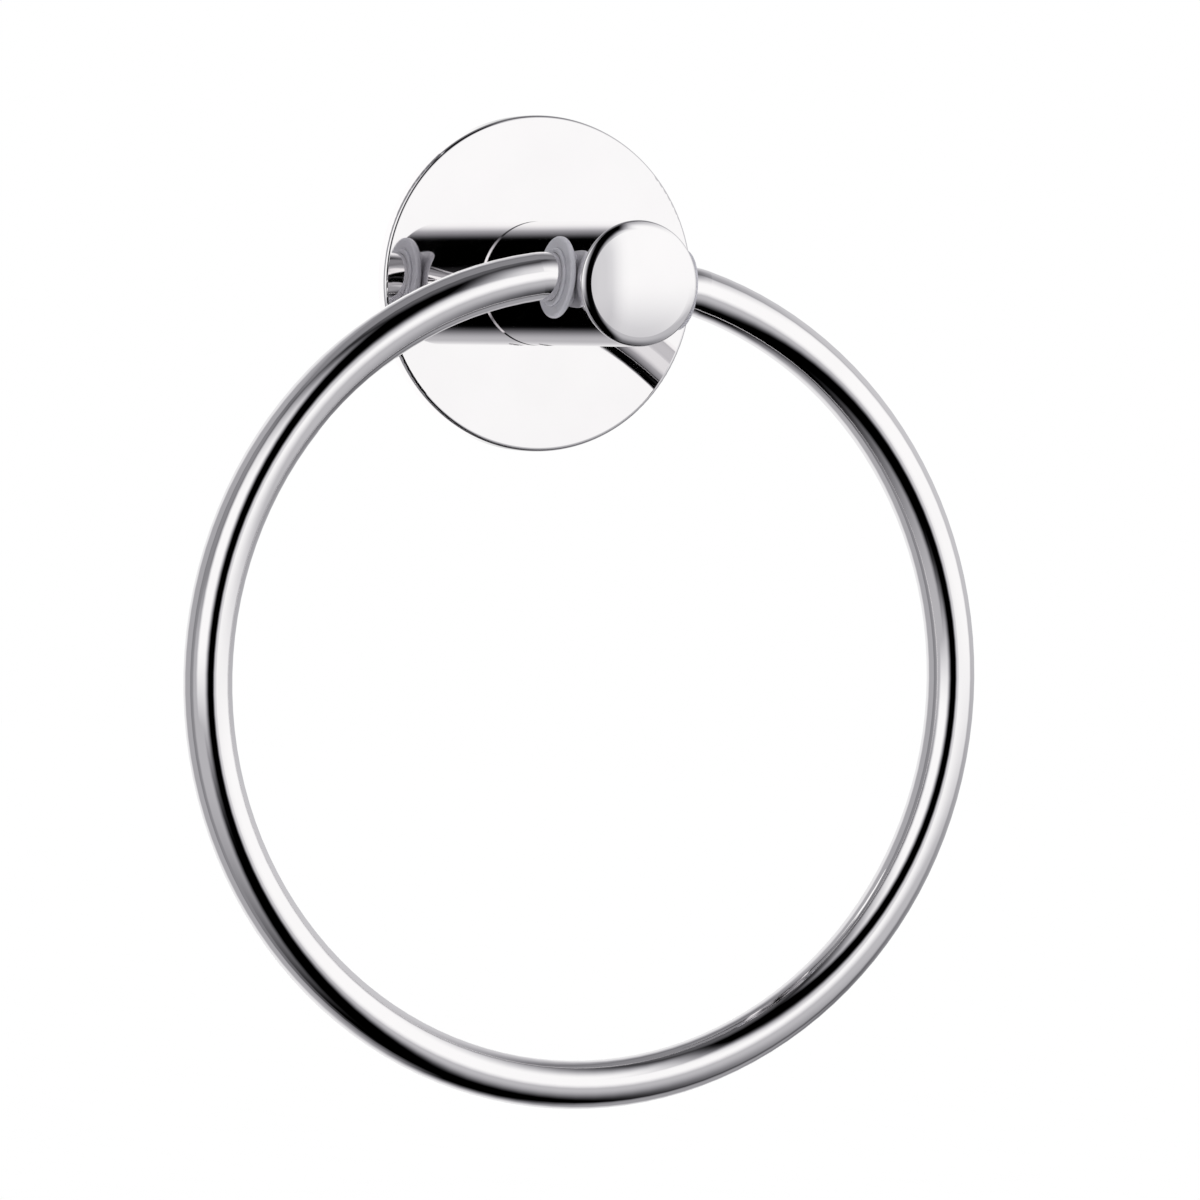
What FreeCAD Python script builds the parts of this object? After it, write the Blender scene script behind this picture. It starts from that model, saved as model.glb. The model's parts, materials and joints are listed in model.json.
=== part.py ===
"""Wall-mounted towel ring: a round bar bent to a ring that swings in a round post.

Lengths are millimetres. The wall is the plane Y = 0, the fitting stands out
towards -Y, +Z is up, and the origin is where the post's axis meets the wall.
"""
import FreeCAD, Part
import math
import os

import Sketcher

SIZES = {
    # Round cover plate, a shallow cup pressed from sheet
    "plate_dia": 63.5,
    "plate_depth": 3.0,
    "plate_wall": 0.9,
    "rim_round": 0.7,
    # Bracket behind the plate, and the two wall screws that hold it
    "bracket_dia": 46.0,
    "spigot_reach": 12.0,
    "spigot_chamfer": 0.8,
    "plate_fit": 0.1,
    "wall_screw_inset": 6.0,
    "wall_screw_hole": 4.2,
    "wall_screw_head": 7.2,
    # Round post, its outer end crowned, with a soft shoulder and a rounded edge
    "post_dia": 23.5,
    "post_wall": 3.7,
    "post_reach": 47.5,
    "foot_bevel": 0.65,
    "end_crown": 71.0,
    "shoulder_round": 3.6,
    "shoulder_turn": 39.0,
    "edge_round": 0.6,
    "spigot_fit": 0.05,
    "socket_spare": 0.5,
    "cross_inset": 11.0,
    # Grub screw under the post
    "screw_out": 7.0,
    "screw_dia": 4.0,
    "screw_fit": 0.03,
    "screw_recess": 0.2,
    "screw_tip": 1.2,
    "groove_depth": 0.9,
    "seat_gap": 0.02,
    "key_across": 2.0,
    "key_depth": 1.6,
    # Flanged plastic bushes between the post and the ring
    "bush_dia": 11.3,
    "bush_depth": 8.0,
    "bush_fit": 0.05,
    "flange_dia": 15.3,
    "flange_thick": 1.2,
    "flange_round": 0.5,
    "flange_gap": 0.1,
    "lip_dia": 11.0,
    "lip_height": 0.5,
    "lip_round": 0.3,
    # Ring of round bar, its two ends straight inside the post
    "rod_dia": 9.0,
    "rod_fit": 0.05,
    "ring_radius": 75.5,
    "blend_radius": 12.0,
    "journal_spare": 0.6,
    "end_gap": 5.0,
    "end_chamfer": 0.6,
}

PLATE_FACE = "Sizes.plate_depth"
BRACKET_FACE = "(Sizes.plate_depth - Sizes.plate_wall)"
POST_RADIUS = "Sizes.post_dia / 2"
SPIGOT_RADIUS = "(Sizes.post_dia / 2 - Sizes.post_wall - Sizes.spigot_fit)"
CROSS_AXIS = "(Sizes.plate_depth + Sizes.post_reach - Sizes.cross_inset)"
SCREW_AXIS = "(Sizes.plate_depth + Sizes.screw_out)"
FLANGE_BACK = "(Sizes.post_dia / 2 + Sizes.flange_gap)"
FLANGE_FRONT = f"({FLANGE_BACK} + Sizes.flange_thick)"
LIP_FRONT = f"({FLANGE_FRONT} + Sizes.lip_height)"
JOURNAL_END = f"({LIP_FRONT} + Sizes.journal_spare)"
SCREW_TOP = f"({SPIGOT_RADIUS} - Sizes.groove_depth + Sizes.screw_tip / 2 + Sizes.seat_gap)"
SCREW_END = "(Sizes.post_dia / 2 - Sizes.screw_recess)"

# The crown's arc is centred on the post's axis. The shoulder's arc touches it from
# inside and meets the post's side with its tangent still shoulder_turn off the end.
CROWN_CENTRE = "(Sizes.plate_depth + Sizes.post_reach - Sizes.end_crown)"
SHOULDER_ACROSS = "(Sizes.post_dia / 2 - Sizes.shoulder_round * sin(Sizes.shoulder_turn))"
SHOULDER_CENTRE = (
    f"({CROWN_CENTRE} + "
    f"sqrt((Sizes.end_crown - Sizes.shoulder_round) ^ 2 - {SHOULDER_ACROSS} ^ 2))"
)
POST_EDGE = f"({SHOULDER_CENTRE} + Sizes.shoulder_round * cos(Sizes.shoulder_turn))"

SAME_PLACE = 1e-4
HEXAGON_CORNERS = range(30, 390, 60)


def make_sheet(doc):
    sheet = doc.addObject("Spreadsheet::Sheet", "Sizes")
    for row, (name, length) in enumerate(SIZES.items(), start=1):
        sheet.set(f"A{row}", name.replace("_", " "))
        sheet.set(f"B{row}", str(length))
        sheet.setAlias(f"B{row}", name)
    doc.recompute()
    return sheet


def new_body(doc, label):
    body = doc.addObject("PartDesign::Body", label)
    body.Label = label
    return body


def new_sketch(body, name, plane):
    """A sketch on one of the body's own origin planes, such as XY_Plane."""
    sketch = body.newObject("Sketcher::SketchObject", name)
    support = next(item for item in body.Origin.OriginFeatures if item.Role == plane)
    sketch.AttachmentSupport = (support, [""])
    sketch.MapMode = "FlatFace"
    return sketch


def sketch_places():
    """How a sketch's constraints name its origin point and its two axes."""
    origin = (-1, 1)
    h_axis = -1
    v_axis = -2
    return origin, h_axis, v_axis


def number(sketch, expression):
    """What a size expression comes to now, as a plain number."""
    found = sketch.evalExpression(expression)
    return float(getattr(found, "Value", found))


def bind(sketch, constraint, name, expression):
    """Add a dimension to a sketch and tie it to the sheet."""
    index = sketch.addConstraint(constraint)
    sketch.renameConstraint(index, name)
    sketch.setExpression(f"Constraints.{name}", expression)


def pin_point(sketch, geometry, end, across, along, name):
    """Place one end of a sketch element by its two distances from the origin."""
    origin, h_axis, v_axis = sketch_places()
    places = (("DistanceX", across, v_axis, "across"), ("DistanceY", along, h_axis, "along"))
    for kind, expression, axis, word in places:
        if expression == "0":
            sketch.addConstraint(Sketcher.Constraint("PointOnObject", geometry, end, axis))
        else:
            value = number(sketch, expression)
            dimension = Sketcher.Constraint(kind, *origin, geometry, end, value)
            bind(sketch, dimension, f"{name}_{word}", expression)


def draw_outline(sketch, corners):
    """Close straight lines round named corners, each placed by two expressions."""
    points = [
        FreeCAD.Vector(number(sketch, across), number(sketch, along), 0)
        for _, across, along in corners
    ]
    lines = [
        sketch.addGeometry(Part.LineSegment(start, end))
        for start, end in zip(points, points[1:] + points[:1])
    ]
    for here, after in zip(lines, lines[1:] + lines[:1]):
        sketch.addConstraint(Sketcher.Constraint("Coincident", here, 2, after, 1))
    for line, (name, across, along) in zip(lines, corners):
        pin_point(sketch, line, 1, across, along, name)
    return lines


def draw_circle(sketch, name, across, along, radius):
    centre = FreeCAD.Vector(number(sketch, across), number(sketch, along), 0)
    size = number(sketch, radius)
    circle = sketch.addGeometry(Part.Circle(centre, FreeCAD.Vector(0, 0, 1), size))
    bind(sketch, Sketcher.Constraint("Radius", circle, size), f"{name}_radius", radius)
    pin_point(sketch, circle, 3, across, along, name)


def revolve(body, sketch, axis):
    turned = body.newObject("PartDesign::Revolution", f"{body.Label}_turned")
    turned.Profile = sketch
    turned.ReferenceAxis = (sketch, [axis])
    turned.Angle = 360
    sketch.Visibility = False
    body.Document.recompute()


def cut(body, sketch, name, reversed_cut=False, both_ways=False, depth=None):
    """Pocket a sketch right through, or to a bound depth, and check that it cut."""
    before = body.Shape.Volume
    pocket = body.newObject("PartDesign::Pocket", name)
    pocket.Profile = sketch
    pocket.Reversed = reversed_cut
    if both_ways:
        pocket.SideType = "Symmetric"
    if depth is None:
        pocket.Type = "ThroughAll"
    else:
        pocket.Type = "Length"
        pocket.setExpression("Length", depth)
    sketch.Visibility = False
    body.Document.recompute()
    if body.Shape.Volume >= before:
        raise RuntimeError(f"{name} removed nothing from {body.Label}")


def round_edges(body, found, name, kind, size):
    """Fillet or chamfer the edges of the body's last shape that the test picks."""
    base = body.Tip
    edges = [
        f"Edge{index}"
        for index, edge in enumerate(base.Shape.Edges, start=1)
        if not edge.Degenerated and isinstance(edge.Curve, Part.Circle) and found(edge.Curve)
    ]
    if not edges:
        raise RuntimeError(f"{name} found no edge on {body.Label}")
    feature = body.newObject(f"PartDesign::{kind}", name)
    feature.Base = (base, edges)
    feature.setExpression("Radius" if kind == "Fillet" else "Size", size)
    body.Document.recompute()


def near(one, other):
    return abs(one - other) < SAME_PLACE


def make_wall_plate(doc, sheet):
    """Shallow cup: a rim that meets the wall, a flat face and a centre hole."""
    body = new_body(doc, "wall_plate")
    sketch = new_sketch(body, "plate_section", "XY_Plane")
    rim = "Sizes.plate_dia / 2"
    rim_inside = "(Sizes.plate_dia / 2 - Sizes.plate_wall)"
    hole = f"({SPIGOT_RADIUS} + Sizes.plate_fit)"
    draw_outline(sketch, [
        ("rim_wall", rim, "0"),
        ("rim_front", rim, f"-{PLATE_FACE}"),
        ("hole_front", hole, f"-{PLATE_FACE}"),
        ("hole_back", hole, f"-{BRACKET_FACE}"),
        ("cup_corner", rim_inside, f"-{BRACKET_FACE}"),
        ("cup_mouth", rim_inside, "0"),
    ])
    revolve(body, sketch, "V_Axis")
    radius = sheet.plate_dia / 2
    face = -sheet.plate_depth
    round_edges(
        body,
        lambda curve: near(curve.Radius, radius) and near(curve.Center.y, face),
        "rim_rounding", "Fillet", "Sizes.rim_round",
    )
    return body


def make_wall_bracket(doc):
    """Disc with a grooved spigot for the post and two countersunk screw holes."""
    body = new_body(doc, "wall_bracket")
    sketch = new_sketch(body, "bracket_section", "XY_Plane")
    disc = "Sizes.bracket_dia / 2"
    end = f"{PLATE_FACE} + Sizes.spigot_reach"
    draw_outline(sketch, [
        ("middle", "0", "0"),
        ("disc_wall", disc, "0"),
        ("disc_front", disc, f"-{BRACKET_FACE}"),
        ("spigot_root", SPIGOT_RADIUS, f"-{BRACKET_FACE}"),
        ("groove_near", SPIGOT_RADIUS, f"-({SCREW_AXIS} - Sizes.groove_depth)"),
        ("groove_floor", f"{SPIGOT_RADIUS} - Sizes.groove_depth", f"-{SCREW_AXIS}"),
        ("groove_far", SPIGOT_RADIUS, f"-({SCREW_AXIS} + Sizes.groove_depth)"),
        ("chamfer_side", SPIGOT_RADIUS, f"-({end} - Sizes.spigot_chamfer)"),
        ("chamfer_end", f"{SPIGOT_RADIUS} - Sizes.spigot_chamfer", f"-({end})"),
        ("tip", "0", f"-({end})"),
    ])
    revolve(body, sketch, "V_Axis")

    for side, sign in (("left", "-"), ("right", "")):
        across = f"{sign}(Sizes.bracket_dia / 2 - Sizes.wall_screw_inset)"
        hole = new_sketch(body, f"screw_hole_{side}", "XZ_Plane")
        draw_circle(hole, "hole", across, "0", "Sizes.wall_screw_hole / 2")
        cut(body, hole, f"wall_screw_{side}", both_ways=True)
        sink = body.newObject("PartDesign::SubtractiveCone", f"countersink_{side}")
        sink.setExpression("Radius1", "Sizes.wall_screw_hole / 2")
        sink.setExpression("Radius2", "Sizes.wall_screw_head / 2")
        sink.setExpression("Height", "(Sizes.wall_screw_head - Sizes.wall_screw_hole) / 2")
        sink.AttachmentSupport = hole.AttachmentSupport
        sink.MapMode = "FlatFace"
        sink.setExpression("AttachmentOffset.Base.x", across)
        sink.setExpression(
            "AttachmentOffset.Base.z",
            f"{BRACKET_FACE} - (Sizes.wall_screw_head - Sizes.wall_screw_hole) / 2",
        )
        doc.recompute()
    return body


def draw_crowned_end(sketch, chord):
    """Put the shoulder's arc and the crown's arc in place of a straight outline line."""
    _, _, v_axis = sketch_places()
    sketch.toggleConstruction(chord)
    normal = FreeCAD.Vector(0, 0, 1)
    crown_radius = number(sketch, "Sizes.end_crown")
    shoulder_radius = number(sketch, "Sizes.shoulder_round")
    crown_centre = FreeCAD.Vector(0, -number(sketch, CROWN_CENTRE), 0)
    across = number(sketch, SHOULDER_ACROSS)
    shoulder_centre = FreeCAD.Vector(across, -number(sketch, SHOULDER_CENTRE), 0)
    lean = math.asin(across / (crown_radius - shoulder_radius)) - math.pi / 2
    turn = math.radians(number(sketch, "Sizes.shoulder_turn")) - math.pi / 2
    shoulder_circle = Part.Circle(shoulder_centre, normal, shoulder_radius)
    crown_circle = Part.Circle(crown_centre, normal, crown_radius)
    shoulder = sketch.addGeometry(Part.ArcOfCircle(shoulder_circle, lean, turn))
    crown = sketch.addGeometry(Part.ArcOfCircle(crown_circle, -math.pi / 2, lean))
    sketch.addConstraint([
        Sketcher.Constraint("Coincident", shoulder, 2, chord, 1),
        Sketcher.Constraint("Coincident", crown, 1, chord, 2),
        Sketcher.Constraint("Tangent", crown, 2, shoulder, 1),
        Sketcher.Constraint("PointOnObject", crown, 3, v_axis),
    ])
    round_of_crown = Sketcher.Constraint("Radius", crown, crown_radius)
    bind(sketch, round_of_crown, "crown", "Sizes.end_crown")
    round_of_shoulder = Sketcher.Constraint("Radius", shoulder, shoulder_radius)
    bind(sketch, round_of_shoulder, "shoulder", "Sizes.shoulder_round")


def make_post(doc):
    """Turned bar with a gently crowned end, bored for the spigot and the bushes."""
    body = new_body(doc, "post")
    sketch = new_sketch(body, "post_section", "XY_Plane")
    radius = number(sketch, POST_RADIUS)
    edge = number(sketch, POST_EDGE)
    lines = draw_outline(sketch, [
        ("foot_middle", "0", f"-{PLATE_FACE}"),
        ("foot", f"{POST_RADIUS} - Sizes.foot_bevel", f"-{PLATE_FACE}"),
        ("bevel", POST_RADIUS, f"-({PLATE_FACE} + Sizes.foot_bevel)"),
        ("edge", POST_RADIUS, f"-{POST_EDGE}"),
        ("tip", "0", f"-({PLATE_FACE} + Sizes.post_reach)"),
    ])
    draw_crowned_end(sketch, lines[3])
    revolve(body, sketch, "V_Axis")
    round_edges(
        body,
        lambda curve: near(curve.Radius, radius) and near(curve.Center.y, -edge),
        "edge_rounding", "Fillet", "Sizes.edge_round",
    )

    socket = new_sketch(body, "spigot_socket", "XZ_Plane")
    draw_circle(socket, "socket", "0", "0", f"{SPIGOT_RADIUS} + Sizes.spigot_fit")
    cut(
        body, socket, "spigot_bore", reversed_cut=True,
        depth=f"{PLATE_FACE} + Sizes.spigot_reach + Sizes.socket_spare",
    )

    cross = new_sketch(body, "cross_section", "YZ_Plane")
    draw_circle(cross, "cross", f"-{CROSS_AXIS}", "0", "Sizes.bush_dia / 2 + Sizes.bush_fit")
    cut(body, cross, "cross_bore", both_ways=True)

    tapped = new_sketch(body, "grub_section", "XY_Plane")
    draw_circle(tapped, "grub", "0", f"-{SCREW_AXIS}", "Sizes.screw_dia / 2")
    cut(body, tapped, "grub_hole")
    return body


def make_grub_screw(doc):
    """Cone-point set screw, point up into the spigot's groove, key socket below."""
    body = new_body(doc, "grub_screw")
    body.setExpression("Placement.Base.y", f"-{SCREW_AXIS}")
    sketch = new_sketch(body, "screw_section", "XZ_Plane")
    shank = "(Sizes.screw_dia / 2 - Sizes.screw_fit)"
    tip = "Sizes.screw_tip / 2"
    draw_outline(sketch, [
        ("point", "0", f"-{SCREW_TOP}"),
        ("tip", tip, f"-{SCREW_TOP}"),
        ("cone", shank, f"-({SCREW_TOP} + {shank} - {tip})"),
        ("end", shank, f"-{SCREW_END}"),
        ("end_middle", "0", f"-{SCREW_END}"),
    ])
    revolve(body, sketch, "V_Axis")

    key = new_sketch(body, "key_section", "XY_Plane")
    key.setExpression("AttachmentOffset.Base.z", f"-{SCREW_END}")
    corner = "Sizes.key_across / sqrt(3)"
    draw_outline(key, [
        (f"key_{turn}", f"{corner} * cos({turn} deg)", f"{corner} * sin({turn} deg)")
        for turn in HEXAGON_CORNERS
    ])
    cut(body, key, "key_socket", reversed_cut=True, depth="Sizes.key_depth")
    return body


def make_bush(doc, sheet, label, half_turns):
    """Flanged sleeve with a raised lip, its axis along X and its mouth outwards."""
    body = new_body(doc, label)
    body.Placement.Rotation = FreeCAD.Rotation(FreeCAD.Vector(0, 0, 1), 180 * half_turns)
    body.setExpression("Placement.Base.y", f"-{CROSS_AXIS}")
    sketch = new_sketch(body, f"{label}_section", "XY_Plane")
    bore = "(Sizes.rod_dia / 2 + Sizes.rod_fit)"
    sleeve = "Sizes.bush_dia / 2"
    draw_outline(sketch, [
        ("inner_bore", f"{FLANGE_BACK} - Sizes.bush_depth", bore),
        ("inner_end", f"{FLANGE_BACK} - Sizes.bush_depth", sleeve),
        ("neck", FLANGE_BACK, sleeve),
        ("flange_back", FLANGE_BACK, "Sizes.flange_dia / 2"),
        ("flange_front", FLANGE_FRONT, "Sizes.flange_dia / 2"),
        ("lip_root", FLANGE_FRONT, "Sizes.lip_dia / 2"),
        ("lip_front", LIP_FRONT, "Sizes.lip_dia / 2"),
        ("mouth", LIP_FRONT, bore),
    ])
    revolve(body, sketch, "H_Axis")
    rim = sheet.flange_dia / 2
    lip = sheet.lip_dia / 2
    lip_place = number(sketch, LIP_FRONT)
    round_edges(
        body, lambda curve: near(curve.Radius, rim),
        "flange_rounding", "Fillet", "Sizes.flange_round",
    )
    round_edges(
        body,
        lambda curve: near(curve.Radius, lip) and near(curve.Center.x, lip_place),
        "lip_rounding", "Fillet", "Sizes.lip_round",
    )
    return body


def make_ring(doc, sheet):
    """Bar bent to a circle whose top flattens into two straight journals.

    Each journal runs along X inside its bush. A small bend of blend_radius leads
    it into the main circle, tangent to both.
    """
    body = new_body(doc, "ring")
    body.setExpression("Placement.Base.y", f"-{CROSS_AXIS}")
    path = new_sketch(body, "ring_path", "XZ_Plane")
    origin, h_axis, v_axis = sketch_places()

    start = sheet.end_gap / 2
    reach = number(path, JOURNAL_END)
    ring_radius = sheet.ring_radius
    bend = sheet.blend_radius
    drop = bend + math.sqrt((ring_radius - bend) ** 2 - reach ** 2)
    lean = math.atan2(drop - bend, reach)
    normal = FreeCAD.Vector(0, 0, 1)

    def journal(side):
        inner = FreeCAD.Vector(side * start, 0, 0)
        return Part.LineSegment(inner, FreeCAD.Vector(side * reach, 0, 0))

    def bend_arc(side, first, last):
        circle = Part.Circle(FreeCAD.Vector(side * reach, -bend, 0), normal, bend)
        return Part.ArcOfCircle(circle, first, last)

    hoop_circle = Part.Circle(FreeCAD.Vector(0, -drop, 0), normal, ring_radius)
    right = path.addGeometry(journal(1))
    right_bend = path.addGeometry(bend_arc(1, lean, math.pi / 2))
    hoop = path.addGeometry(Part.ArcOfCircle(hoop_circle, math.pi - lean, 2 * math.pi + lean))
    left_bend = path.addGeometry(bend_arc(-1, math.pi / 2, math.pi - lean))
    left = path.addGeometry(journal(-1))
    path.addConstraint([
        Sketcher.Constraint("PointOnObject", right, 1, h_axis),
        Sketcher.Constraint("Horizontal", right),
        Sketcher.Constraint("Symmetric", right, 1, left, 1, v_axis),
        Sketcher.Constraint("Symmetric", right, 2, left, 2, v_axis),
        Sketcher.Constraint("Tangent", right, 2, right_bend, 2),
        Sketcher.Constraint("Tangent", right_bend, 1, hoop, 2),
        Sketcher.Constraint("Tangent", hoop, 1, left_bend, 2),
        Sketcher.Constraint("Tangent", left_bend, 1, left, 2),
        Sketcher.Constraint("Equal", right_bend, left_bend),
    ])
    inner_end = Sketcher.Constraint("DistanceX", *origin, right, 1, start)
    bind(path, inner_end, "journal_start", "Sizes.end_gap / 2")
    outer_end = Sketcher.Constraint("DistanceX", *origin, right, 2, reach)
    bind(path, outer_end, "journal_end", JOURNAL_END)
    bind(path, Sketcher.Constraint("Radius", hoop, ring_radius), "hoop", "Sizes.ring_radius")
    bind(path, Sketcher.Constraint("Radius", right_bend, bend), "bend", "Sizes.blend_radius")

    section = new_sketch(body, "rod_section", "YZ_Plane")
    section.setExpression("AttachmentOffset.Base.z", "Sizes.end_gap / 2")
    draw_circle(section, "rod", "0", "0", "Sizes.rod_dia / 2")
    doc.recompute()

    pipe = body.newObject("PartDesign::AdditivePipe", "ring_bar")
    pipe.Profile = section
    pipe.Spine = (path, [""])
    path.Visibility = False
    section.Visibility = False
    doc.recompute()
    rod = sheet.rod_dia / 2
    round_edges(
        body,
        lambda curve: near(curve.Radius, rod) and near(abs(curve.Center.x), start),
        "bar_ends", "Chamfer", "Sizes.end_chamfer",
    )
    return body


def check_document(doc):
    for item in doc.Objects:
        if "Invalid" in item.State or "Error" in item.State:
            raise RuntimeError(f"{item.Label} failed to build")


def main():
    doc = FreeCAD.newDocument("towel_ring")
    sheet = make_sheet(doc)
    bodies = [
        make_wall_plate(doc, sheet),
        make_wall_bracket(doc),
        make_post(doc),
        make_grub_screw(doc),
        make_bush(doc, sheet, "bush_left", 1),
        make_bush(doc, sheet, "bush_right", 0),
        make_ring(doc, sheet),
    ]
    doc.recompute()
    check_document(doc)
    for body in bodies:
        if body.Shape.isNull() or not body.Shape.isValid():
            raise RuntimeError(f"{body.Label} has no valid shape")
    os.makedirs("parts", exist_ok=True)
    for body in bodies:
        body.Shape.exportStep(f"parts/{body.Label}.step")
        box = body.Shape.BoundBox
        print(
            f"{body.Label}: {len(body.Shape.Solids)} solid, {body.Shape.Volume:.1f} mm3, "
            f"X {box.XMin:.2f} to {box.XMax:.2f}, Y {box.YMin:.2f} to {box.YMax:.2f}, "
            f"Z {box.ZMin:.2f} to {box.ZMax:.2f}"
        )


main()
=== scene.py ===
"""Towel ring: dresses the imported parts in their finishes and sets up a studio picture.

The wall is the plane Y = 0, the fitting stands out towards -Y and +Z is up, as in
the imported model. Lengths are metres and angles are radians, unless a name says so.
"""

import json
import math

import bmesh
import bpy
from mathutils import Matrix, Vector


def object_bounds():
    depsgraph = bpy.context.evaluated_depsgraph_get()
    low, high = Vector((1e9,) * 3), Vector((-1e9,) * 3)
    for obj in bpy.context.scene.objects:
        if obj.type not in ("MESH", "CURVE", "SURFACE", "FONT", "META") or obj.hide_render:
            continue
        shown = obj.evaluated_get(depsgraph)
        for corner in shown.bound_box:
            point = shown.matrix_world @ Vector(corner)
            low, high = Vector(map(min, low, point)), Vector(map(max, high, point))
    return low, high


bl_info = {
    "name": "Towel Ring",
    "version": (1, 0, 0),
    "blender": (4, 5, 0),
    "location": "3D View > Sidebar > Towel Ring",
    "description": "Dresses the parts of a towel ring and sets up its studio picture",
    "category": "Object",
}

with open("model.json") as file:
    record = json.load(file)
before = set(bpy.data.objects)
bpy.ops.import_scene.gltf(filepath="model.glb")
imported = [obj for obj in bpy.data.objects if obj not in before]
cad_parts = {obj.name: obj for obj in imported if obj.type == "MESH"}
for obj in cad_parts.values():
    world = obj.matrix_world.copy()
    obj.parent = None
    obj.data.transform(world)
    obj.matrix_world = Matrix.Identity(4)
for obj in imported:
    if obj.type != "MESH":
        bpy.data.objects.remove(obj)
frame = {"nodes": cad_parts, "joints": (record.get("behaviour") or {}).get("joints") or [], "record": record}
CAD_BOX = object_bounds()

# The ring's swing axis crosses the post's axis here
SWING_POINT = Vector(frame["joints"][0]["pos_m"])

# Light reaches the metal from soft panels on a tent round the fitting. Azimuth is
# seen from above, 0 in front of the wall plate and positive to its right. Each row
# has a name, two azimuths, two elevations, the fade at each of those four edges, all
# in degrees, and a brightness.
TENT_PANELS = (
    ("right_softbox", (11, 90), (-18, 30), (9, 14, 20, 12), 1.02),
    ("right_top", (17, 86), (-2, 51), (9, 14, 14, 24), 1.02),
    ("right_edge", (5, 60), (-20, 22), (5, 20, 18, 14), 0.7),
    ("right_low", (7, 92), (-45, 20), (8, 16, 22, 20), 0.54),
    ("left_softbox", (-80, -31), (-10, 49), (12, 11, 14, 21), 1.02),
    ("left_low", (-100, -43), (-43, 20), (12, 12, 26, 20), 0.5),
    ("right_wall", (80, 160), (-20, 50), (16, 20, 32, 24), 0.62),
    ("right_floor", (102, 165), (-66, -30), (14, 16, 12, 12), 0.36),
    ("left_wall", (-172, -110), (-70, 62), (14, 7, 18, 16), 0.43),
    ("left_gap", (-112, -84), (-60, 56), (6, 6, 22, 18), 0.28),
    ("back_wall", (140, 210), (-56, 46), (18, 16, 24, 22), 0.85),
    ("back_ceiling", (80, 280), (50, 91), (20, 20, 14, 1), 0.26),
    ("front_ceiling", (-80, 90), (70, 91), (20, 20, 8, 1), 0.11),
)

TENT_SEGMENTS = 180
TENT_RINGS = 90
TENT_DIM_COLOUR = (0.93, 0.92, 1, 1)
TENT_BRIGHT_COLOUR = (1, 1, 1, 1)

# The white arc behind the plate. Its angles are degrees from the plate's right, and
# it fades away towards both ends.
ARC_ANGLES = (70, 290)
ARC_FADE = 45
ARC_STEPS = 40
ARC_RADII = (0.0325, 0.046)
ARC_DEPTH = 0.008
ARC_STRENGTH = 1.05

FLOOR_HALF_SIDE = 20
KEY_LAMP_AIM = Vector((-0.5, 0.55, -1))
CAMERA_SENSOR_MM = 36
CAMERA_REACH = (0.05, 60)

# The post's domed end is part of a sphere about this point, in front of this depth
CROWN_CENTRE = (0, 0.0205, 0)
CROWN_FROM = -0.0503

# Nearly all of a noise factor lies between these two values
NOISE_SPAN = (0.3, 0.7)


class TowelRingFinish(bpy.types.PropertyGroup):
    """Colours and gloss of the four finishes."""

    chrome_colour: bpy.props.FloatVectorProperty(
        name="Chrome", description="Colour of the chrome plate",
        default=(0.94, 0.925, 0.93), subtype="COLOR", min=0, max=1,
    )
    chrome_roughness: bpy.props.FloatProperty(
        name="Chrome haze", description="Roughness where the polish is least even",
        default=0.035, min=0, max=1, subtype="FACTOR",
    )
    plastic_colour: bpy.props.FloatVectorProperty(
        name="Bush plastic", description="Colour of the two bushes",
        default=(0.44, 0.435, 0.475), subtype="COLOR", min=0, max=1,
    )
    bracket_colour: bpy.props.FloatVectorProperty(
        name="Bracket zinc", description="Colour of the bracket behind the plate",
        default=(0.62, 0.62, 0.6), subtype="COLOR", min=0, max=1,
    )
    screw_colour: bpy.props.FloatVectorProperty(
        name="Screw steel", description="Colour of the grub screw",
        default=(0.5, 0.5, 0.52), subtype="COLOR", min=0, max=1,
    )


class TowelRingStudio(bpy.types.PropertyGroup):
    """Where the camera stands, the floor and the lamps."""

    camera_azimuth: bpy.props.FloatProperty(
        name="Camera azimuth", description="Angle to the left of the post's axis",
        default=math.radians(24.05), subtype="ANGLE",
    )
    camera_roll: bpy.props.FloatProperty(
        name="Camera roll", description="How far the fitting leans clockwise in the picture",
        default=math.radians(5.3), subtype="ANGLE",
    )
    camera_distance: bpy.props.FloatProperty(
        name="Camera distance", description="From the ring's swing axis to the camera",
        default=2.125, min=0.2, unit="LENGTH",
    )
    camera_lens_mm: bpy.props.FloatProperty(
        name="Lens", description="Focal length in millimetres on a 36 mm sensor",
        default=342.6, min=10,
    )
    aim_left: bpy.props.FloatProperty(
        name="Aim left", description="How far left of the swing axis the camera aims",
        default=0.00336, unit="LENGTH",
    )
    aim_below: bpy.props.FloatProperty(
        name="Aim below", description="How far below the swing axis the camera aims",
        default=0.0589, unit="LENGTH",
    )
    lamp_strength: bpy.props.FloatProperty(
        name="Lamp strength", description="Strength of the soft lamp in front",
        default=1.15, min=0,
    )
    lamp_spread: bpy.props.FloatProperty(
        name="Lamp spread", description="How broad the lamp is, as an angle seen from the ring",
        default=math.radians(50), min=0, subtype="ANGLE",
    )
    room_light: bpy.props.FloatProperty(
        name="Room light", description="Strength of the even light from all round",
        default=0.72, min=0, max=1, subtype="FACTOR",
    )
    floor_drop: bpy.props.FloatProperty(
        name="Floor drop", description="Gap between the hanging ring and the floor",
        default=0.05, min=0, unit="LENGTH",
    )
    floor_colour: bpy.props.FloatVectorProperty(
        name="Floor", description="Colour of the floor",
        default=(0.99, 0.99, 0.99), subtype="COLOR", min=0, max=1,
    )
    tent_radius: bpy.props.FloatProperty(
        name="Tent radius", description="Radius of the tent that the metal reflects",
        default=3.0, min=0.5, unit="LENGTH",
    )


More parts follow.
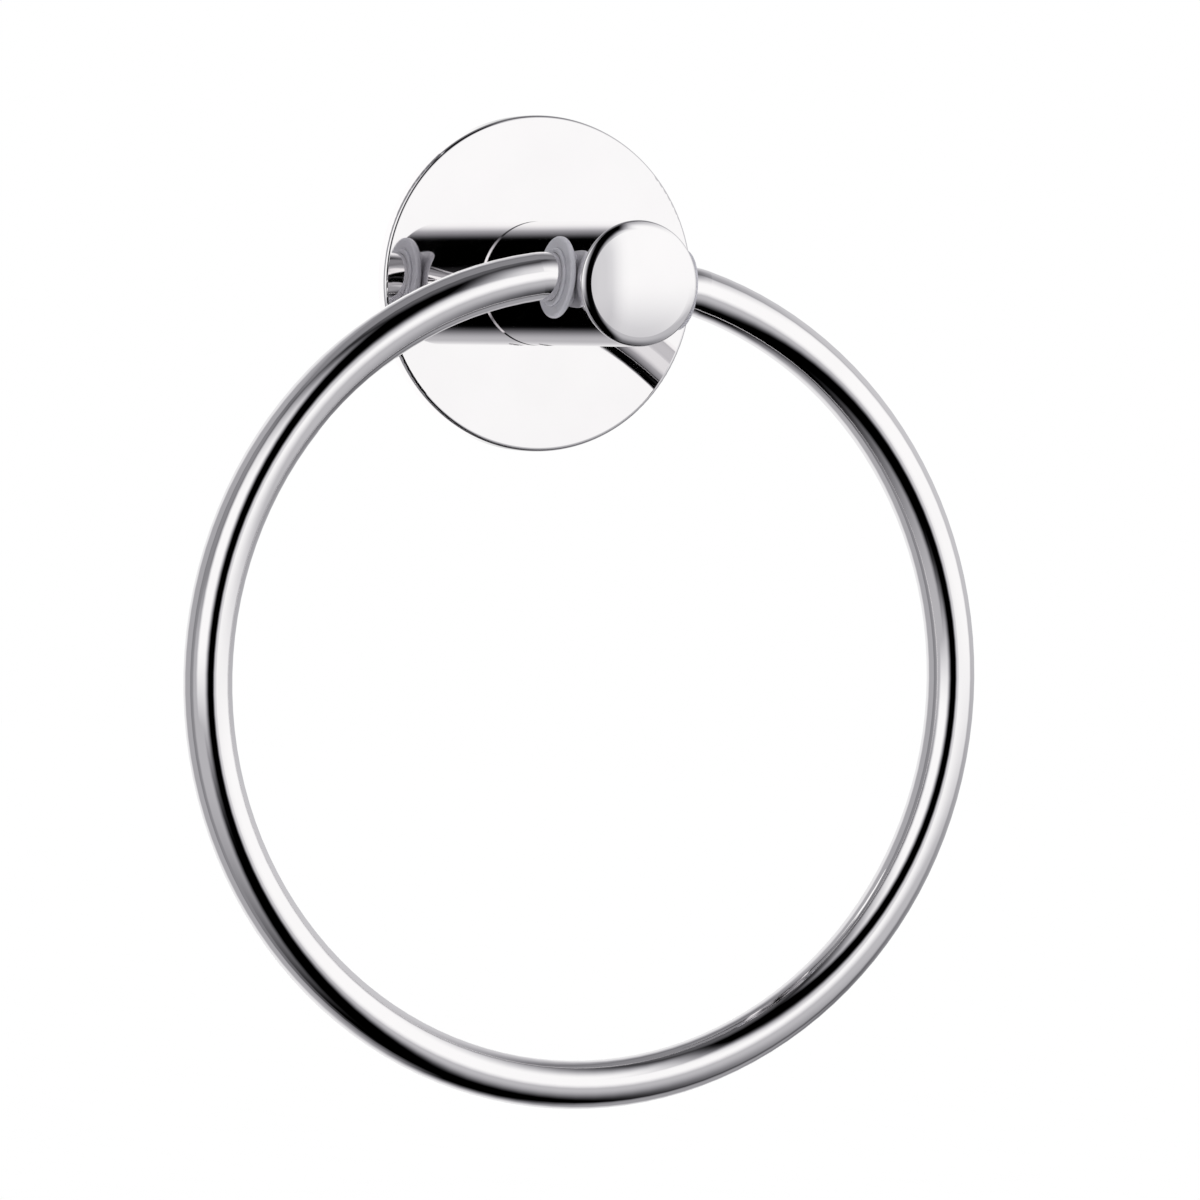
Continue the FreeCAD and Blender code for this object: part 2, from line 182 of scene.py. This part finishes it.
def smooth_step(low, high, value):
    """Ease from 0 at the low value to 1 at the high one."""
    share = min(max((value - low) / (high - low), 0), 1)
    return share * share * (3 - 2 * share)


def new_material(name):
    """An empty material with its Principled shader, ready for textures."""
    material = bpy.data.materials.new(name)
    material.use_nodes = True
    shader = material.node_tree.nodes["Principled BSDF"]
    return material, shader


def add_noise(material, scale, detail, stretch=(1, 1, 1)):
    """Noise over the object's own metres, stretched along its axes."""
    tree = material.node_tree
    place = tree.nodes.new("ShaderNodeTexCoord")
    mapping = tree.nodes.new("ShaderNodeMapping")
    mapping.inputs["Scale"].default_value = stretch
    noise = tree.nodes.new("ShaderNodeTexNoise")
    noise.inputs["Scale"].default_value = scale
    noise.inputs["Detail"].default_value = detail
    tree.links.new(place.outputs["Object"], mapping.inputs["Vector"])
    tree.links.new(mapping.outputs["Vector"], noise.inputs["Vector"])
    return noise.outputs["Fac"]


def spread(material, factor, low, high):
    """Map a noise factor's usual span to a range of plain numbers."""
    tree = material.node_tree
    node = tree.nodes.new("ShaderNodeMapRange")
    node.inputs["From Min"].default_value = NOISE_SPAN[0]
    node.inputs["From Max"].default_value = NOISE_SPAN[1]
    node.inputs["To Min"].default_value = low
    node.inputs["To Max"].default_value = high
    tree.links.new(factor, node.inputs["Value"])
    return node.outputs["Result"]


def tint(material, factor, one, other):
    """Blend two colours by a noise factor."""
    tree = material.node_tree
    node = tree.nodes.new("ShaderNodeMix")
    node.data_type = "RGBA"
    node.inputs["A"].default_value = (*one, 1)
    node.inputs["B"].default_value = (*other, 1)
    tree.links.new(spread(material, factor, low=0, high=1), node.inputs["Factor"])
    return node.outputs["Result"]


def add_bump(material, shader, height, depth):
    """Fine relief from a noise factor, as deep as this in metres."""
    tree = material.node_tree
    node = tree.nodes.new("ShaderNodeBump")
    node.inputs["Strength"].default_value = 1
    node.inputs["Distance"].default_value = depth
    tree.links.new(height, node.inputs["Height"])
    tree.links.new(node.outputs["Normal"], shader.inputs["Normal"])


def add_crown_normal(material, shader):
    """Take the domed end's normal from its sphere, so its facets don't show in the polish."""
    tree = material.node_tree
    place = tree.nodes.new("ShaderNodeTexCoord")
    outward = tree.nodes.new("ShaderNodeVectorMath")
    outward.operation = "SUBTRACT"
    outward.inputs[1].default_value = CROWN_CENTRE
    tree.links.new(place.outputs["Object"], outward.inputs[0])
    sphere = tree.nodes.new("ShaderNodeVectorMath")
    sphere.operation = "NORMALIZE"
    tree.links.new(outward.outputs["Vector"], sphere.inputs[0])
    depth = tree.nodes.new("ShaderNodeSeparateXYZ")
    tree.links.new(place.outputs["Object"], depth.inputs["Vector"])
    on_crown = tree.nodes.new("ShaderNodeMath")
    on_crown.operation = "LESS_THAN"
    on_crown.inputs[1].default_value = CROWN_FROM
    tree.links.new(depth.outputs["Y"], on_crown.inputs[0])
    surface = tree.nodes.new("ShaderNodeNewGeometry")
    pick = tree.nodes.new("ShaderNodeMix")
    pick.data_type = "VECTOR"
    tree.links.new(on_crown.outputs["Value"], pick.inputs["Factor"])
    tree.links.new(surface.outputs["Normal"], pick.inputs["A"])
    tree.links.new(sphere.outputs["Vector"], pick.inputs["B"])
    tree.links.new(pick.outputs["Result"], shader.inputs["Normal"])


def scaled(colour, share):
    """The colour made darker or lighter, never past white."""
    return tuple(min(channel * share, 1) for channel in colour)


def chrome_finish(finish):
    """Mirror polish over bright nickel, a little uneven where the wheel passed."""
    material, shader = new_material("polished_chrome")
    shader.inputs["Metallic"].default_value = 1
    cloud = add_noise(material, scale=60, detail=3)
    colour = tuple(finish.chrome_colour)
    tree = material.node_tree
    blend = tint(material, cloud, scaled(colour, share=0.985), scaled(colour, share=1.01))
    tree.links.new(blend, shader.inputs["Base Color"])
    haze = add_noise(material, scale=240, detail=4, stretch=(1, 0.3, 1))
    haziest = finish.chrome_roughness
    roughness = spread(material, haze, low=0.3 * haziest, high=haziest)
    tree.links.new(roughness, shader.inputs["Roughness"])
    add_crown_normal(material, shader)
    return material


def plastic_finish(finish):
    """Milky moulded nylon that lets a little light through."""
    material, shader = new_material("milky_nylon")
    cloud = add_noise(material, scale=350, detail=3)
    colour = tuple(finish.plastic_colour)
    tree = material.node_tree
    blend = tint(material, cloud, scaled(colour, share=0.93), scaled(colour, share=1.05))
    tree.links.new(blend, shader.inputs["Base Color"])
    tree.links.new(spread(material, cloud, low=0.3, high=0.42), shader.inputs["Roughness"])
    shader.inputs["Subsurface Weight"].default_value = 0.5
    shader.inputs["Subsurface Radius"].default_value = (1, 1, 1)
    shader.inputs["Subsurface Scale"].default_value = 0.0015
    grain = add_noise(material, scale=2500, detail=2)
    add_bump(material, shader, grain, depth=0.00002)
    return material


def zinc_finish(finish):
    """Satin zinc plate over turned steel."""
    material, shader = new_material("satin_zinc")
    shader.inputs["Metallic"].default_value = 1
    cloud = add_noise(material, scale=220, detail=5)
    colour = tuple(finish.bracket_colour)
    tree = material.node_tree
    blend = tint(material, cloud, scaled(colour, share=0.88), scaled(colour, share=1.08))
    tree.links.new(blend, shader.inputs["Base Color"])
    tree.links.new(spread(material, cloud, low=0.28, high=0.45), shader.inputs["Roughness"])
    grain = add_noise(material, scale=1800, detail=3)
    add_bump(material, shader, grain, depth=0.00003)
    return material


def stainless_finish(finish):
    """Plain bright stainless steel, fine lines round the screw's axis."""
    material, shader = new_material("stainless_steel")
    shader.inputs["Metallic"].default_value = 1
    lines = add_noise(material, scale=900, detail=2, stretch=(0.2, 0.2, 4))
    colour = tuple(finish.screw_colour)
    tree = material.node_tree
    blend = tint(material, lines, scaled(colour, share=0.85), scaled(colour, share=1.1))
    tree.links.new(blend, shader.inputs["Base Color"])
    tree.links.new(spread(material, lines, low=0.22, high=0.36), shader.inputs["Roughness"])
    return material


def dress(slot, material):
    """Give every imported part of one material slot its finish."""
    for listed in frame["record"]["subparts"]:
        if listed["material_slot"] == slot:
            part = frame["nodes"][listed["node"]]
            part.data.materials.clear()
            part.data.materials.append(material)


class TOWELRING_OT_dress_metal(bpy.types.Operator):
    """Give the wall plate, the post and the ring their chrome"""

    bl_idname = "towelring.dress_metal"
    bl_label = "Dress chrome parts"

    def execute(self, context):
        dress("chrome", chrome_finish(context.scene.towel_ring_finish))
        return {"FINISHED"}


class TOWELRING_OT_dress_bushes(bpy.types.Operator):
    """Give the two bushes their milky plastic"""

    bl_idname = "towelring.dress_bushes"
    bl_label = "Dress bushes"

    def execute(self, context):
        dress("bush_plastic", plastic_finish(context.scene.towel_ring_finish))
        return {"FINISHED"}


class TOWELRING_OT_dress_fixings(bpy.types.Operator):
    """Give the wall bracket and the grub screw their steel"""

    bl_idname = "towelring.dress_fixings"
    bl_label = "Dress bracket and screw"

    def execute(self, context):
        finish = context.scene.towel_ring_finish
        dress("bracket_steel", zinc_finish(finish))
        dress("screw_steel", stainless_finish(finish))
        return {"FINISHED"}


def panel_light(azimuth, elevation):
    """Brightness of the tent in one direction, from the panels in degrees."""
    found = 0
    for _, (left, right), (low, high), fades, level in TENT_PANELS:
        turned = azimuth + 360 if azimuth + 360 < right + fades[1] else azimuth
        share = smooth_step(left - fades[0], left + fades[0], turned)
        share *= 1 - smooth_step(right - fades[1], right + fades[1], turned)
        share *= smooth_step(low - fades[2], low + fades[2], elevation)
        share *= 1 - smooth_step(high - fades[3], high + fades[3], elevation)
        found = max(found, share * level)
    return found


def keep_to_reflections(thing, tilt):
    """Turn a lit part of the stage with the camera and show it only in the metal."""
    thing.matrix_world = tilt
    thing.visible_camera = False
    thing.visible_diffuse = False
    thing.visible_transmission = False
    thing.visible_volume_scatter = False
    thing.visible_shadow = False


def new_light_cloth(name):
    """A material that only gives light, as bright as its mesh's glow at each point.

    Returns it with its light and the reader of that glow.
    """
    material = bpy.data.materials.new(name)
    material.use_nodes = True
    tree = material.node_tree
    tree.nodes.remove(tree.nodes["Principled BSDF"])
    light = tree.nodes.new("ShaderNodeEmission")
    reader = tree.nodes.new("ShaderNodeAttribute")
    reader.attribute_name = "glow"
    tree.links.new(reader.outputs["Fac"], light.inputs["Strength"])
    tree.links.new(light.outputs["Emission"], tree.nodes["Material Output"].inputs["Surface"])
    return material, light, reader


def make_tent(studio, tilt):
    """A sphere seen only in reflections, lit by its panels."""
    tent = bpy.data.objects.new("tent", bpy.data.meshes.new("tent"))
    bpy.context.scene.collection.objects.link(tent)
    mesh = bmesh.new()
    bmesh.ops.create_uvsphere(
        mesh, u_segments=TENT_SEGMENTS, v_segments=TENT_RINGS, radius=studio.tent_radius,
    )
    bmesh.ops.reverse_faces(mesh, faces=mesh.faces)
    mesh.to_mesh(tent.data)
    mesh.free()
    glow = tent.data.attributes.new("glow", "FLOAT", "POINT")
    for index, vertex in enumerate(tent.data.vertices):
        across, out, height = vertex.co / studio.tent_radius
        azimuth = math.degrees(math.atan2(across, -out))
        elevation = math.degrees(math.asin(min(max(height, -1), 1)))
        glow.data[index].value = panel_light(azimuth, elevation)
    material, light, reader = new_light_cloth("tent_cloth")
    tree = material.node_tree
    cloth = tree.nodes.new("ShaderNodeMix")
    cloth.data_type = "RGBA"
    cloth.inputs["A"].default_value = TENT_DIM_COLOUR
    cloth.inputs["B"].default_value = TENT_BRIGHT_COLOUR
    tree.links.new(reader.outputs["Fac"], cloth.inputs["Factor"])
    tree.links.new(cloth.outputs["Result"], light.inputs["Color"])
    tent.data.materials.append(material)
    keep_to_reflections(tent, tilt)


def make_rear_arc(tilt):
    """A white arc behind the plate's left rim, where a real wall would light that rim."""
    first, last = ARC_ANGLES
    corners = []
    levels = []
    for step in range(ARC_STEPS + 1):
        degrees = first + (last - first) * step / ARC_STEPS
        level = ARC_STRENGTH * smooth_step(first, first + ARC_FADE, degrees)
        level *= 1 - smooth_step(last - ARC_FADE, last, degrees)
        angle = math.radians(degrees)
        for radius in ARC_RADII:
            corners.append((radius * math.cos(angle), ARC_DEPTH, radius * math.sin(angle)))
            levels.append(level)
    faces = [
        (corner, corner + 1, corner + 3, corner + 2)
        for corner in range(0, 2 * ARC_STEPS, 2)
    ]
    arc = bpy.data.objects.new("rear_arc", bpy.data.meshes.new("rear_arc"))
    bpy.context.scene.collection.objects.link(arc)
    arc.data.from_pydata(corners, [], faces)
    glow = arc.data.attributes.new("glow", "FLOAT", "POINT")
    glow.data.foreach_set("value", levels)
    material, light, reader = new_light_cloth("arc_card")
    tree = material.node_tree
    clear = tree.nodes.new("ShaderNodeBsdfTransparent")
    fade = tree.nodes.new("ShaderNodeMixShader")
    tree.links.new(reader.outputs["Fac"], fade.inputs["Fac"])
    unlit, lit = fade.inputs[1:]
    tree.links.new(clear.outputs["BSDF"], unlit)
    tree.links.new(light.outputs["Emission"], lit)
    tree.links.new(fade.outputs["Shader"], tree.nodes["Material Output"].inputs["Surface"])
    arc.data.materials.append(material)
    keep_to_reflections(arc, tilt)


def make_floor(studio):
    """A plain pale floor under the hanging ring."""
    floor = bpy.data.objects.new("floor", bpy.data.meshes.new("floor"))
    bpy.context.scene.collection.objects.link(floor)
    mesh = bmesh.new()
    bmesh.ops.create_grid(mesh, x_segments=1, y_segments=1, size=FLOOR_HALF_SIDE)
    mesh.to_mesh(floor.data)
    mesh.free()
    floor.location.z = CAD_BOX[0].z - studio.floor_drop
    material, shader = new_material("floor_paper")
    grain = add_noise(material, scale=30, detail=4)
    colour = tuple(studio.floor_colour)
    blend = tint(material, grain, scaled(colour, share=0.995), colour)
    material.node_tree.links.new(blend, shader.inputs["Base Color"])
    shader.inputs["Roughness"].default_value = 0.9
    shader.inputs["Specular IOR Level"].default_value = 0
    floor.data.materials.append(material)
    floor.visible_glossy = False


def make_world(studio):
    """White for the camera, for metal and for glass, and a softer light on the rest."""
    world = bpy.data.worlds.new("studio_air")
    bpy.context.scene.world = world
    world.use_nodes = True
    tree = world.node_tree
    background = tree.nodes["Background"]
    background.inputs["Color"].default_value = (1, 1, 1, 1)
    path = tree.nodes.new("ShaderNodeLightPath")
    seen = path.outputs["Is Camera Ray"]
    for name in ("Is Glossy Ray", "Is Transmission Ray"):
        either = tree.nodes.new("ShaderNodeMath")
        either.operation = "MAXIMUM"
        tree.links.new(seen, either.inputs[0])
        tree.links.new(path.outputs[name], either.inputs[1])
        seen = either.outputs["Value"]
    strength = tree.nodes.new("ShaderNodeMapRange")
    strength.inputs["To Min"].default_value = studio.room_light
    strength.inputs["To Max"].default_value = 1
    tree.links.new(seen, strength.inputs["Value"])
    tree.links.new(strength.outputs["Result"], background.inputs["Strength"])


def make_key_lamp(studio):
    """A broad soft lamp from above and in front, to the right."""
    lamp = bpy.data.lights.new("key_lamp", "SUN")
    lamp.energy = studio.lamp_strength
    lamp.angle = studio.lamp_spread
    holder = bpy.data.objects.new("key_lamp", lamp)
    bpy.context.scene.collection.objects.link(holder)
    holder.rotation_euler = KEY_LAMP_AIM.to_track_quat("-Z", "Y").to_euler()
    holder.visible_glossy = False


def make_camera(studio, tilt):
    """The photographer's place, left of the post's axis and at its height."""
    lens = bpy.data.cameras.new("camera")
    lens.lens = studio.camera_lens_mm
    lens.sensor_width = CAMERA_SENSOR_MM
    camera = bpy.data.objects.new("camera", lens)
    bpy.context.scene.collection.objects.link(camera)
    ahead = Vector((math.sin(studio.camera_azimuth), math.cos(studio.camera_azimuth), 0))
    right = Vector((ahead.y, -ahead.x, 0))
    place = SWING_POINT - ahead * studio.camera_distance
    aim = SWING_POINT - right * studio.aim_left - Vector((0, 0, studio.aim_below))
    turn = (aim - place).to_track_quat("-Z", "Y").to_matrix().to_4x4()
    camera.matrix_world = tilt @ Matrix.Translation(place) @ turn
    lens.clip_start, lens.clip_end = CAMERA_REACH
    bpy.context.scene.camera = camera


class TOWELRING_OT_set_stage(bpy.types.Operator):
    """Set up the floor, the light tent, the rear arc, the lamp and the camera"""

    bl_idname = "towelring.set_stage"
    bl_label = "Set the stage"

    def execute(self, context):
        studio = context.scene.towel_ring_studio
        tilt = Matrix.Rotation(-studio.camera_roll, 4, "Y")
        make_floor(studio)
        make_tent(studio, tilt)
        make_rear_arc(tilt)
        make_world(studio)
        make_key_lamp(studio)
        make_camera(studio, tilt)
        context.scene.view_settings.view_transform = "Standard"
        return {"FINISHED"}


class TOWELRING_PT_parts(bpy.types.Panel):
    """Lists what the add-on makes"""

    bl_idname = "TOWELRING_PT_parts"
    bl_label = "Towel Ring"
    bl_space_type = "VIEW_3D"
    bl_region_type = "UI"
    bl_category = "Towel Ring"

    def draw(self, context):
        for group in (context.scene.towel_ring_finish, context.scene.towel_ring_studio):
            box = self.layout.box()
            for name in group.__annotations__:
                box.prop(group, name)
        for operator in OPERATORS:
            self.layout.operator(operator.bl_idname)


OPERATORS = (
    TOWELRING_OT_dress_metal,
    TOWELRING_OT_dress_bushes,
    TOWELRING_OT_dress_fixings,
    TOWELRING_OT_set_stage,
)
CLASSES = (TowelRingFinish, TowelRingStudio, *OPERATORS, TOWELRING_PT_parts)


def register():
    for item in CLASSES:
        bpy.utils.register_class(item)
    bpy.types.Scene.towel_ring_finish = bpy.props.PointerProperty(type=TowelRingFinish)
    bpy.types.Scene.towel_ring_studio = bpy.props.PointerProperty(type=TowelRingStudio)


def unregister():
    del bpy.types.Scene.towel_ring_studio
    del bpy.types.Scene.towel_ring_finish
    for item in reversed(CLASSES):
        bpy.utils.unregister_class(item)


def main():
    register()
    bpy.ops.towelring.dress_metal()
    bpy.ops.towelring.dress_bushes()
    bpy.ops.towelring.dress_fixings()
    bpy.ops.towelring.set_stage()


if __name__ == "__main__":
    main()
